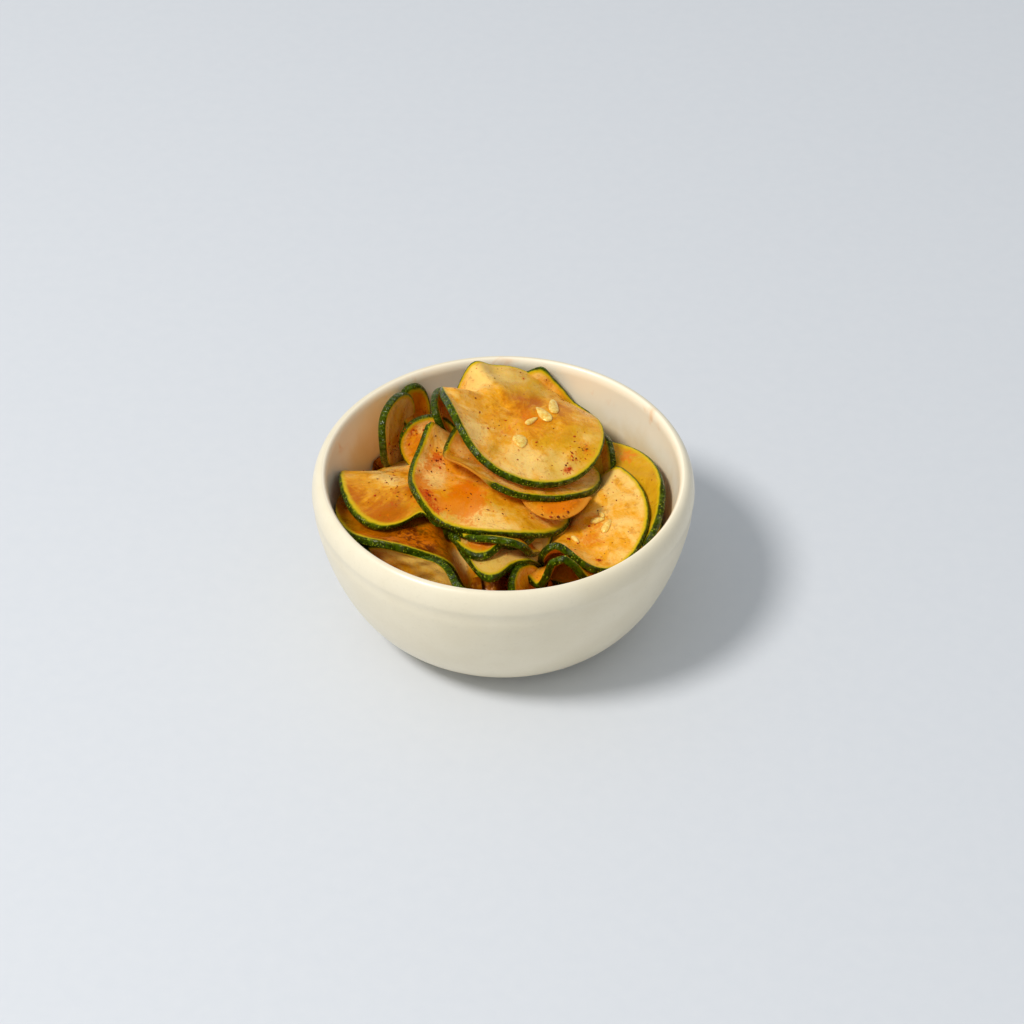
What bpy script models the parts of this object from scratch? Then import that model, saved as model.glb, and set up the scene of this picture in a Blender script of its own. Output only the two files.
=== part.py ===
"""A small glazed bowl heaped with thin, wavy slices of marinated zucchini.

Metres, +Z up. The origin is the middle of the underside of the bowl, so the bowl stands on z = 0.
-Y is the near side. The bowl is a turned profile. The heap is one solid: a core that fills the
lower bowl, and the slices that show, each a thin wavy disc that rests under the slices above it.
"""

import math

import bmesh
import bpy
import numpy as np
from mathutils import Euler

MM = 0.001

# Bowl, in millimetres
BOWL_RADIUS = 55.0
BOWL_HEIGHT = 49.0
BASE_RADIUS = 20.0  # flat spot that the bowl stands on
SIDE_FULLNESS = (1.4, 3.35)  # the two powers that give the outer wall its round shoulder
LIP_OUTER = (3.1, 7.0)  # half width and drop of the lip's outer rounding
LIP_INNER = (1.5, 3.0)
FLOOR_TOP = 5.0
WELL_RADIUS = 16.0  # flat middle of the bowl's inside
WELL_FULLNESS = (1.5, 3.0)
BOWL_STEPS = 44
WALL_STEPS = 9
WALL_SPACING = 2.2  # a power that sets the wall's points closer near the base, where it curves most

# Heap, in millimetres
SLICE_THICKNESS = 2.2
SLICE_SIDES = 24
PLAIN_SIDES = 18  # of the slices that are flat or mostly hidden
SMALL_SIDES = 12  # of the small slices
SIDES_PER_RING = 6  # a slice has one ring of points for every six sides
RIM_LUMP = 0.015  # share of the radius by which a slice's outline swells and shrinks, three times round
RIM_FLOW = 2.2  # a fold fades toward the middle of its slice with this power of the radius
CREASE_END = 3.0  # length over which a crease dies out past its ends
FUSE_GAP = 1.5  # middle surface to middle surface, so that touching slices overlap and fuse
DRAPE_SLOPE = 1.2  # how steeply a slice rises again beside the one that lies on it
WALL_GAP = 0.45
FLOOR_GAP = 1.5
OVER_LIP = 1.5  # what is this far above the lip may reach out over it
CORE_EDGE = 18.0  # height of the widest ring of the core
CORE_SINK = 0.5  # how far the core's top lies under the middle surface of the slice on it
CORE_PROBE = 2.5  # a slice covers a spot that has a point of it this near
CORE_SHARE = 0.8  # the inner share of a slice's radius that the core carries
CORE_STANDBACK = 3.0  # the core's top steps down this far before the end of that share
CORE_SIDES = 32
CORE_RINGS = 20
STANDING_LEAN = 50  # slices that lean more, in degrees, stand round the core and not on it
SEED_SIZE = (4.8, 2.7, 1.3)  # length, width and thickness
SEED_SIDES = 6
SCRAP_EDGE = 0.003  # shorter edges are taken out after the slices are fused

# A slice: where its middle lies, how it is turned (facing about the upright axis, lean toward the
# near side, spin in its own plane), its radius, twist, ovalness, its folds and what lies on it.
# A fold: its direction round the rim and its width in degrees, its height and its outward reach.
# A crease: its two ends on the flat slice, its height, and its width to the right and to the left.
SLICES = {
    "top": dict(
        at=(5.5, 22.5, 49), facing=16, lean=6, spin=-6, radius=26.5, twist=14, oval=-0.03,
        folds=[(181, 39, 10.5, -3), (136, 10, -8.5, 1), (114, 8, 4.5, -1), (41, 44, -14, -5.5)],
        creases=[(-18, 8, -10, 10.5, 3.5, 5, 3), (-8, 11, -4, 12.5, 1.5, 6, 3)],
    ),
    "second": dict(
        at=(4.5, 12, 39), facing=-24, lean=-25, spin=29, radius=24, twist=4, oval=0.03,
        folds=[(266, 43, -2.5, -4), (218, 23, 3, 1), (159, 25, 8.5, -4.5)], under=["top"],
    ),
    "middle": dict(
        at=(-6, 4, 40.5), facing=-3, lean=-9, spin=9, radius=23, twist=-16, oval=0.05,
        folds=[(127, 17, 7.5, 2), (207, 20, 4.5, 0), (323, 50, -13, 1.5), (158, 41, 5.5, -4)],
        under=["top", "second"],
    ),
    "upturned": dict(
        at=(15, -2, 42.5), facing=0, lean=12, spin=0, radius=10.5, twist=0, oval=0,
        under=["top", "second"], sides=SMALL_SIDES,
    ),
    "right": dict(
        at=(19, -5, 33.5), facing=-25, lean=13, spin=27, radius=24, twist=-4, oval=-0.03,
        folds=[(258, 27, 12, -7.5), (230, 9, -7.5, -5)], under=["top", "second", "middle"],
    ),
    "saddle": dict(
        at=(-24, 7, 39), facing=-11, lean=-23, spin=2, radius=23.5, twist=20, oval=0,
        folds=[(283, 15, 2.5, -7), (251, 46, -11, 2), (316, 10, -8.5, -3.5), (148, 19, -2, -1.5)],
        under=["middle"],
    ),
    "right_outer": dict(
        at=(24, 4, 30.5), facing=-60, lean=22, spin=-12, radius=25.5, twist=15, oval=0.04,
        under=["top", "right"],
    ),
    "under_middle": dict(
        at=(-4, 8.5, 33), facing=0, lean=-2, spin=5, radius=26, twist=24, oval=-0.13,
        folds=[(271, 21, 9.5, 5), (319, 8, -19, 2), (189, 30, -1, -7)], under=["middle"],
    ),
    "near_upper": dict(
        at=(-3, 5.5, 32.5), facing=-4, lean=-7, spin=1, radius=23.5, twist=3, oval=-0.1,
        folds=[(265, 16, 2.5, 8), (279, 8, 2.5, -1), (335, 22, 2, -3.5), (192, 33, -3, -6)],
        under=["middle"],
    ),
    "near_lower": dict(
        at=(-5, -1.5, 33), facing=-5, lean=-6, spin=15, radius=25, twist=0, oval=-0.05,
        folds=[(261, 10, 2.5, 9.5), (308, 14, -7.5, -2), (226, 19, 2, -5),
               (340, 23, -0.5, -3.5), (190, 29, 4, -9.5)],
        under=["middle"],
    ),
    "left_outer": dict(
        at=(-23.5, -2, 35.5), facing=-10, lean=-8, spin=10, radius=26, twist=16, oval=0.01,
        folds=[(222, 22, -2, 1.5), (261, 26, 1, -1), (311, 16, -13, -1)],
        under=["saddle", "near_lower"], sides=PLAIN_SIDES,
    ),
    "curl": dict(
        at=(20.5, -5, 31), facing=0, lean=-4, spin=0, radius=25.5, twist=-3, oval=0,
        folds=[(261, 11, 12, 0.5), (286, 12, -3.5, 0), (245, 10, -5, -0.5)], under=["right"],
    ),
    "near_left": dict(
        at=(-22, -26, 27), facing=-32, lean=101, spin=8, radius=22, twist=-7, oval=0.09,
        folds=[(85, 44, -1, -7), (35, 18, 5, -1.5)],
    ),
    "near_left_inner": dict(
        at=(-20, -27, 19), facing=-30, lean=95, spin=0, radius=18, twist=0, oval=0, sides=PLAIN_SIDES,
    ),
    "arch": dict(
        at=(5.5, -29, 26), facing=72, lean=85, spin=-35, radius=10, twist=21, oval=0.01,
        sides=SMALL_SIDES,
    ),
    "near_wall": dict(
        at=(2, -35.5, 24), facing=0, lean=118, spin=0, radius=18, twist=5, oval=0,
        folds=[(90, 25, 2, -1)], sides=PLAIN_SIDES,
    ),
    "near_wall_right": dict(
        at=(23.5, -27.5, 24), facing=40, lean=118, spin=0, radius=18, twist=-6, oval=0,
        folds=[(60, 25, 2, -1)], sides=PLAIN_SIDES,
    ),
    "near_wall_left": dict(
        at=(-31, -20, 24), facing=-57, lean=118, spin=0, radius=16, twist=0, oval=0,
        folds=[(90, 30, 1, -1)], sides=PLAIN_SIDES,
    ),
    "back_flap": dict(
        at=(-21.5, 23, 38.5), facing=-3, lean=72, spin=9, radius=9.5, twist=-12, oval=-0.03,
        sides=SMALL_SIDES,
    ),
    "top_flap": dict(
        at=(-17.5, 30.5, 44.5), facing=88, lean=73, spin=-26, radius=9, twist=5, oval=0.13,
        sides=SMALL_SIDES,
    ),
    "left_standing": dict(
        at=(-32, 29.5, 39), facing=63, lean=87, spin=3, radius=11.5, twist=3, oval=-0.05,
        folds=[(169, 38, 2, 0)], sides=PLAIN_SIDES,
    ),
    "left_standing_back": dict(
        at=(-26.5, 38.5, 38), facing=56, lean=63, spin=-7, radius=7.5, twist=17, oval=-0.15,
        folds=[(75, 40, 3, 1)], sides=SMALL_SIDES,
    ),
    "right_standing": dict(
        at=(19, 27, 24), facing=-58, lean=55, spin=13, radius=20, twist=8, oval=0,
        folds=[(87, 23, -5, -5)], sides=PLAIN_SIDES,
    ),
    "far_standing": dict(
        at=(6.5, 36, 27), facing=-11, lean=59, spin=-12, radius=23.5, twist=-3, oval=0.02,
        folds=[(95, 8, 1, 2.5), (62, 16, -2, -3), (120, 14, -1.5, -1)],
    ),
}

# A seed: the slice it lies on, where on it (direction and share of the radius), and its own heading.
SEEDS = [
    ("top", 22, 0.44, 58),
    ("top", 2, 0.25, 116),
    ("top", 255, 0.39, 10),
    ("right", 340, 0.49, 80),
    ("right", 278, 0.36, 30),
]

CREAM = (0.80, 0.75, 0.62)
FLESH = (0.72, 0.42, 0.12)


def clear_scene():
    for obj in list(bpy.data.objects):
        bpy.data.objects.remove(obj, do_unlink=True)


def new_collection(name):
    collection = bpy.data.collections.new(name)
    bpy.context.scene.collection.children.link(collection)
    return collection


def new_object(name, shape, collection):
    """An object whose mesh is made from a bmesh, which is freed."""
    mesh = bpy.data.meshes.new(name)
    shape.to_mesh(mesh)
    shape.free()
    obj = bpy.data.objects.new(name, mesh)
    collection.objects.link(obj)
    return obj


def new_material(name, color, roughness):
    material = bpy.data.materials.new(name)
    material.use_nodes = True
    shader = material.node_tree.nodes["Principled BSDF"]
    shader.inputs["Base Color"].default_value = (*color, 1.0)
    shader.inputs["Roughness"].default_value = roughness
    shader.inputs["Metallic"].default_value = 0.0
    return material


def evaluated_mesh(obj):
    """The object's mesh with its modifiers applied."""
    return bpy.data.meshes.new_from_object(obj.evaluated_get(bpy.context.evaluated_depsgraph_get()))


def outer_radius(z):
    """Outer wall: r = base + (R - base) * (1 - (1 - z / top)^a)^(1 / b), full and round."""
    a, b = SIDE_FULLNESS
    rise = np.clip(z / (BOWL_HEIGHT - LIP_OUTER[1]), 0, 1)
    return BASE_RADIUS + (BOWL_RADIUS - BASE_RADIUS) * (1 - (1 - rise) ** a) ** (1 / b)


def inner_radius(z):
    """Inner wall, floor to lip, by the same rule."""
    a, b = WELL_FULLNESS
    lip = BOWL_RADIUS - LIP_OUTER[0] - LIP_INNER[0]
    rise = np.clip((z - FLOOR_TOP) / (BOWL_HEIGHT - LIP_INNER[1] - FLOOR_TOP), 0, 1)
    return WELL_RADIUS + (lip - WELL_RADIUS) * (1 - (1 - rise) ** a) ** (1 / b)


def bowl_profile():
    """(r, z) points from the top of the lip down the outside, across the base and up the inside."""
    crest = BOWL_RADIUS - LIP_OUTER[0]
    lip_foot = BOWL_HEIGHT - LIP_OUTER[1]
    well_top = BOWL_HEIGHT - LIP_INNER[1]
    points = []
    for k in range(5):  # outer rounding of the lip, a quarter of an ellipse
        turn = math.radians(90 * k / 5)
        drop = LIP_OUTER[1] * (1 - math.cos(turn))
        points.append((crest + LIP_OUTER[0] * math.sin(turn), BOWL_HEIGHT - drop))
    for k in range(WALL_STEPS + 1):
        z = lip_foot * (1 - k / WALL_STEPS) ** WALL_SPACING
        points.append((float(outer_radius(z)), z))
    points.append((0.0, 0.0))
    points.append((0.0, FLOOR_TOP))
    for k in range(WALL_STEPS):
        z = FLOOR_TOP + (well_top - FLOOR_TOP) * (k / (WALL_STEPS - 1)) ** WALL_SPACING
        points.append((float(inner_radius(z)), z))
    for k in range(1, 4):  # inner rounding of the lip
        turn = math.radians(90 * k / 4)
        rise = LIP_INNER[1] * math.sin(turn)
        points.append((crest - LIP_INNER[0] * math.cos(turn), well_top + rise))
    return points


def make_bowl(collection):
    mesh = bpy.data.meshes.new("bowl")
    vertices = [(r * MM, 0.0, z * MM) for r, z in bowl_profile()]
    edges = [(k, (k + 1) % len(vertices)) for k in range(len(vertices))]
    mesh.from_pydata(vertices, edges, [])
    mesh.materials.append(new_material("glaze", CREAM, 0.35))
    bowl = bpy.data.objects.new("bowl", mesh)
    collection.objects.link(bowl)
    screw = bowl.modifiers.new("turn", "SCREW")
    screw.axis = "Z"
    screw.steps = screw.render_steps = BOWL_STEPS
    screw.use_merge_vertices = True
    screw.merge_threshold = 0.00001
    screw.use_smooth_shade = True


def soft_step_below(height, limit, softness=0.4):
    """The height, or the limit where that is lower, with a soft change between the two."""
    over = height - limit
    return height - (over + np.sqrt(over**2 + softness**2)) / 2


def slice_points(form, angle, share):
    """Middle surface of one slice, from the angle round it (degrees) and the share of its radius.

    A flat disc takes its folds, each h * share^p * exp(-((angle - at) / width)^2) high, and its
    creases, each h * exp(-(distance / width)^2) high with a width for either side of its line. It is
    twisted about its own Y axis, then turned and placed.
    """
    turn = np.radians(angle)
    r = form["radius"] * share * (1 + RIM_LUMP * np.sin(3 * turn))
    x = r * np.cos(turn) * (1 + form["oval"])
    y = r * np.sin(turn) * (1 - form["oval"])
    z = np.zeros_like(x)
    for at, width, height, reach in form.get("folds", []):
        away = (angle - at + 180) % 360 - 180
        part = share**RIM_FLOW * np.exp(-((away / width) ** 2))
        x = x + reach * part * np.cos(turn)
        y = y + reach * part * np.sin(turn)
        z = z + height * part
    for x1, y1, x2, y2, height, right_width, left_width in form.get("creases", []):
        run = math.hypot(x2 - x1, y2 - y1)
        along = ((x - x1) * (x2 - x1) + (y - y1) * (y2 - y1)) / run
        beside = ((y - y1) * (x2 - x1) - (x - x1) * (y2 - y1)) / run
        past = np.maximum(np.maximum(-along, along - run), 0) / CREASE_END
        across = beside / np.where(beside > 0, left_width, right_width)
        z = z + height * np.exp(-(across**2) - past**2)
    twist = np.radians(form["twist"]) * y / form["radius"]
    x, z = x * np.cos(twist) - z * np.sin(twist), x * np.sin(twist) + z * np.cos(twist)
    facing, lean, spin = (math.radians(form[key]) for key in ("facing", "lean", "spin"))
    turned = Euler((lean, 0, 0)).to_matrix() @ Euler((0, 0, spin)).to_matrix()
    turned = np.array(Euler((0, 0, facing)).to_matrix() @ turned)
    return np.stack([x, y, z], -1) @ turned.T + np.array(form["at"], float)


def even_angles(form, sides):
    """Angles that cut the slice's rim into equal lengths, so that its folds get enough points."""
    fine = np.linspace(0, 360, 721)
    rim = slice_points(form, fine, np.ones_like(fine))
    length = np.concatenate([[0], np.cumsum(np.linalg.norm(np.diff(rim, axis=0), axis=1))])
    return np.interp(np.arange(sides) / sides * length[-1], length, fine)


def drape_limit(points, above):
    """Highest z at each point that stays under the points above, rising beside them at a slope."""
    across = points[:, None, :2] - above[None, :, :2]
    distance = np.hypot(across[..., 0], across[..., 1])
    return (above[None, :, 2] + DRAPE_SLOPE * distance).min(1)


def inside_bowl(points, gap):
    """The points, pulled in radially where they would come nearer the bowl's inner wall than gap."""
    points = points.copy()
    radius = np.hypot(points[:, 0], points[:, 1])
    room = inner_radius(points[:, 2]) - gap
    room = np.where(points[:, 2] > BOWL_HEIGHT + OVER_LIP, BOWL_RADIUS, room)
    points[:, :2] *= np.minimum(1, room / np.maximum(radius, 1e-6))[:, None]
    points[:, 2] = np.maximum(points[:, 2], FLOOR_TOP + FLOOR_GAP)
    return points


def settled_points(form, angle, share, laid):
    """The slice's points after it settles under the slices above it and inside the bowl."""
    points = slice_points(form, angle, share)
    if "under" in form:
        above = np.concatenate([laid[name] for name in form["under"]])
        limit = drape_limit(points, above) - FUSE_GAP
        points[:, 2] = soft_step_below(points[:, 2], limit)
    upright = abs(math.sin(math.radians(form["lean"])))
    return inside_bowl(points, WALL_GAP + upright * SLICE_THICKNESS / 2)


def flat_disc(sides, rings):
    """A disc spun from a line, with triangles; also the side number and share of each vertex."""
    disc = bmesh.new()
    line = [disc.verts.new((k / rings, 0, 0)) for k in range(rings + 1)]
    edges = [disc.edges.new(pair) for pair in zip(line, line[1:])]
    bmesh.ops.spin(
        disc, geom=line + edges, cent=(0, 0, 0), axis=(0, 0, 1),
        dvec=(0, 0, 0), angle=2 * math.pi, steps=sides, use_merge=True,
    )
    bmesh.ops.remove_doubles(disc, verts=disc.verts, dist=1e-5)
    bmesh.ops.triangulate(disc, faces=disc.faces)
    disc.verts.ensure_lookup_table()
    flat = np.array([vertex.co for vertex in disc.verts])
    turn = np.degrees(np.arctan2(flat[:, 1], flat[:, 0])) % 360
    side = np.round(turn * sides / 360).astype(int) % sides
    return disc, side, np.hypot(flat[:, 0], flat[:, 1])


def move_vertices(vertices, points):
    """Puts the vertices at the points, given in millimetres."""
    for vertex, point in zip(vertices, points):
        vertex.co = point * MM


def make_slice(name, form, laid, collection):
    """One slice: a disc with the slice's form, given its thickness and kept inside the bowl."""
    sides = form.get("sides", SLICE_SIDES)
    disc, side, share = flat_disc(sides, sides // SIDES_PER_RING)
    move_vertices(disc.verts, settled_points(form, even_angles(form, sides)[side], share, laid))
    bmesh.ops.recalc_face_normals(disc, faces=disc.faces)
    piece = new_object(name, disc, collection)
    skin = piece.modifiers.new("thickness", "SOLIDIFY")
    skin.thickness = SLICE_THICKNESS * MM
    skin.offset = 0
    thick = evaluated_mesh(piece)
    piece.modifiers.clear()
    piece.data = thick
    corners = np.array([vertex.co for vertex in thick.vertices]) / MM
    move_vertices(thick.vertices, inside_bowl(corners, WALL_GAP))
    return piece


def make_seed(name, angle, share, heading, laid, collection):
    """A seed: a flat ellipsoid, half sunk in the upper face of its slice."""
    step = 0.02
    around = np.array([angle, angle, angle + math.degrees(step)])
    outward = np.array([share, share + step, share])
    middle, out, side = settled_points(SLICES[name], around, outward, laid)
    out = (out - middle) / np.linalg.norm(out - middle)
    up = np.cross(out, side - middle)
    up = up / np.linalg.norm(up)
    along = out * math.cos(math.radians(heading)) + np.cross(up, out) * math.sin(math.radians(heading))
    seed = bmesh.new()
    bmesh.ops.create_uvsphere(seed, u_segments=SEED_SIDES, v_segments=SEED_SIDES // 2 + 1, radius=0.5)
    ball = np.array([vertex.co for vertex in seed.verts]) * SEED_SIZE
    frame = np.stack([along, np.cross(up, along), up])
    move_vertices(seed.verts, ball @ frame + middle + up * SLICE_THICKNESS / 2)
    return new_object("seed", seed, collection)


def cover_height(spots, lying):
    """Height of the highest slice over each spot, or the core's edge height where none lies."""
    height = np.full(len(spots), CORE_EDGE)
    for points in lying:
        across = spots[:, None, :] - points[None, :, :2]
        near = np.hypot(across[..., 0], across[..., 1]) < CORE_PROBE
        over = np.where(near, points[None, :, 2], np.inf).min(1)
        height = np.where(np.isfinite(over), np.maximum(height, over - CORE_SINK), height)
    return height


def make_core(lying, collection):
    """What fills the bowl under the slices: a lump whose top stays just inside the highest slice.

    Round each slice's rim the top is lower, at the slice under it, so the gaps between rims stay
    open.
    """
    lump = bmesh.new()
    bmesh.ops.create_uvsphere(lump, u_segments=CORE_SIDES, v_segments=CORE_RINGS, radius=1)
    bmesh.ops.triangulate(lump, faces=lump.faces)
    ball = np.array([vertex.co for vertex in lump.verts])
    reach = float(inner_radius(CORE_EDGE)) - WALL_GAP
    points = ball * (reach, reach, CORE_EDGE - FLOOR_TOP - FLOOR_GAP) + (0, 0, CORE_EDGE)
    upper = ball[:, 2] > 0.01
    spots = points[upper, :2]
    turns = np.radians(np.arange(0, 360, 45))
    steps = [(0, 0)] + [(CORE_STANDBACK * math.cos(t), CORE_STANDBACK * math.sin(t)) for t in turns]
    points[upper, 2] = np.min([cover_height(spots + step, lying) for step in steps], axis=0)
    move_vertices(lump.verts, inside_bowl(points, WALL_GAP))
    return new_object("zucchini_heap", lump, collection)


def clean_shell(mesh):
    """Leaves one outer shell of triangles, without scraps, sealed hollows and back-to-back pairs."""
    shape = bmesh.new()
    shape.from_mesh(mesh)
    bmesh.ops.dissolve_degenerate(shape, edges=shape.edges, dist=SCRAP_EDGE * MM)
    bmesh.ops.triangulate(shape, faces=shape.faces)
    same_corners = {}
    for face in shape.faces:
        same_corners.setdefault(frozenset(face.verts), []).append(face)
    pairs = [face for faces in same_corners.values() if len(faces) > 1 for face in faces]
    bmesh.ops.delete(shape, geom=pairs, context="FACES")
    left = set(shape.faces)
    shells = []
    while left:
        shell, waiting = set(), [left.pop()]
        while waiting:
            face = waiting.pop()
            shell.add(face)
            beside = {other for edge in face.edges for other in edge.link_faces} & left
            left -= beside
            waiting.extend(beside)
        shells.append(shell)
    shells.sort(key=len)
    for shell in shells[:-1]:
        bmesh.ops.delete(shape, geom=list(shell), context="FACES")
    shape.to_mesh(mesh)
    shape.free()


def make_heap(collection):
    """The core, every slice that shows and the seeds on them, fused into one solid."""
    to_fuse = new_collection("slices_and_seeds")
    grid = np.meshgrid(np.arange(0, 360, 6.0), np.linspace(0, 1, 16))
    angle, share = grid[0].ravel(), grid[1].ravel()
    laid = {}  # each slice's settled middle surface, in fine points
    pieces = []
    for name, form in SLICES.items():
        pieces.append(make_slice(name, form, laid, to_fuse))
        laid[name] = settled_points(form, angle, share, laid)
    pieces += [make_seed(*seed, laid, to_fuse) for seed in SEEDS]
    lying = [name for name, form in SLICES.items() if form["lean"] < STANDING_LEAN]
    heap = make_core([laid[name][share <= CORE_SHARE] for name in lying], collection)
    join = heap.modifiers.new("join", "BOOLEAN")
    join.operation = "UNION"
    join.operand_type = "COLLECTION"
    join.collection = to_fuse
    fused = evaluated_mesh(heap)
    heap.modifiers.clear()
    heap.data = fused
    for piece in pieces:
        bpy.data.objects.remove(piece, do_unlink=True)
    bpy.data.collections.remove(to_fuse)
    clean_shell(fused)
    fused.materials.clear()
    fused.materials.append(new_material("zucchini", FLESH, 0.3))


clear_scene()
parts = new_collection("bowl_of_marinated_zucchini")
make_bowl(parts)
make_heap(parts)
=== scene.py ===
"""Looks of a small cream bowl heaped with thin, wavy slices of marinated zucchini.

The heap of the frame is replaced by its real pieces: each slice with its green skin, the marinade
that they lie in, seeds and chilli flakes. The bowl is replaced by a smoother turned one.
Shapes are worked out in millimetres, in the frame's own axes, and stored in metres.
"""
import math

import bpy
import numpy as np
from mathutils import Euler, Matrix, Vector


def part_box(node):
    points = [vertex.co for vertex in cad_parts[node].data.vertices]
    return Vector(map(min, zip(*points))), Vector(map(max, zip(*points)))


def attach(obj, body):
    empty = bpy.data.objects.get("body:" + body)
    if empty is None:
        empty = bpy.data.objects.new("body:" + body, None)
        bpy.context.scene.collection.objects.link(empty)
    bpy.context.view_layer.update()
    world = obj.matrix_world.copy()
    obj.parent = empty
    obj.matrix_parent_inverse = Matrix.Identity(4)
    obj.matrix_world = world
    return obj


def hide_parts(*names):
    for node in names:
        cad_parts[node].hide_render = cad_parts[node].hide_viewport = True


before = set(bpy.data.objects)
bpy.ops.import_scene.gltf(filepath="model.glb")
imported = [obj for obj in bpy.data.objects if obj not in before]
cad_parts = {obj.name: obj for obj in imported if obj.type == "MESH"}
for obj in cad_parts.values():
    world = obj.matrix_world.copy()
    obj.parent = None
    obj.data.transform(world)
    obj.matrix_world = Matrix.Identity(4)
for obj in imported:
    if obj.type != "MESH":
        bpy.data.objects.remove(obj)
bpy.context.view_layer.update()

MM = 0.001
_, bowl_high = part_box("bowl")

# Bowl, in millimetres
BOWL_RADIUS = bowl_high[0] / MM
BOWL_HEIGHT = bowl_high[2] / MM
BASE_RADIUS = 20.0
SIDE_FULLNESS = (1.4, 3.35)  # the two powers of the outer wall's curve
LIP_OUTER = (3.1, 7.0)  # width and height of the lip's rounding outside
LIP_INNER = (1.5, 3.0)  # and inside
SHOULDER = (0.3, 1.5, 1.6)  # the groove under the lip: its depth, its drop and its half width
FLOOR_TOP = 5.0
WELL_RADIUS = 16.0
WELL_FULLNESS = (1.5, 3.0)
POLE_RADIUS = 0.2  # of the innermost rings, which a fan closes over the middle
BOWL_TURNS = 192
WALL_CROWDING = 2.2  # above 1, a wall's rings lie closer together toward its foot

# Slices, in millimetres
RIM_THICKNESS = 2.3
FACE_THICKNESS = 1.6
RIM_SWELL = 4.0  # width of the band along the rim where a slice thickens from face to rim
CORNER = 0.8  # rounding of the skin's two edges
SKIN_REACH = 0.6  # how far in from the rim the skin goes on over that rounding
RIM_LUMP = 0.015  # share of the radius by which a rim is out of round, in three lobes
RIM_FLOW = 2.2  # above 1, a fold keeps to the rim and is soon gone toward the middle
LAYING_GAP = 2.2  # middle surface to middle surface of slices that touch
DRAPE_SLOPE = 1.2  # how steeply a slice may rise beside one that lies on it
DRAPE_BATCH = 2000  # points compared at a time
WALL_GAP = 0.45  # to the bowl's inner wall
FLOOR_GAP = 1.5  # and to its floor
OVER_LIP = 1.5  # above the bowl by this much, a slice may reach out as far as the bowl does
SPREAD = 40.0  # from slice to slice in the patterns, so that no two are alike
THROUGH = 8.0  # from a slice's middle surface to its faces in the patterns of its flesh
SLICE_TURNS = 168
FACE_RINGS = 30
FACE_CROWDING = 1.7  # above 1, a face's rings lie closer together toward the rim
CORNER_RINGS = 5
LEAST_SHARE = 0.02  # of the radius, where a slice's innermost ring lies
DENTS = ((0.55, 0.21, 1.0), (-0.18, 0.47, 2.3), (0.63, -0.80, 1.7))  # a, b and c of three waves
DENT_HEIGHT = 0.22
CREASE_END = 3.0  # length over which a crease dies out past its ends
BARE_EDGE = 12.0  # degrees over which the skin gives way to bare flesh
BARE_THINNING = 0.7  # share of its thickness that a bare rim lacks
CORE_TONE = 0.25  # how much deeper the seedy middle is than the flesh round it
CORE_FADE = (1.6, 3.0)  # outward: first - second * share of the radius, from 0.5 to -0.5
LAID_ANGLES = np.arange(0, 360, 3.0)  # where a laid slice is felt by what goes under it
LAID_SHARES = np.linspace(0, 1, 16)

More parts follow.
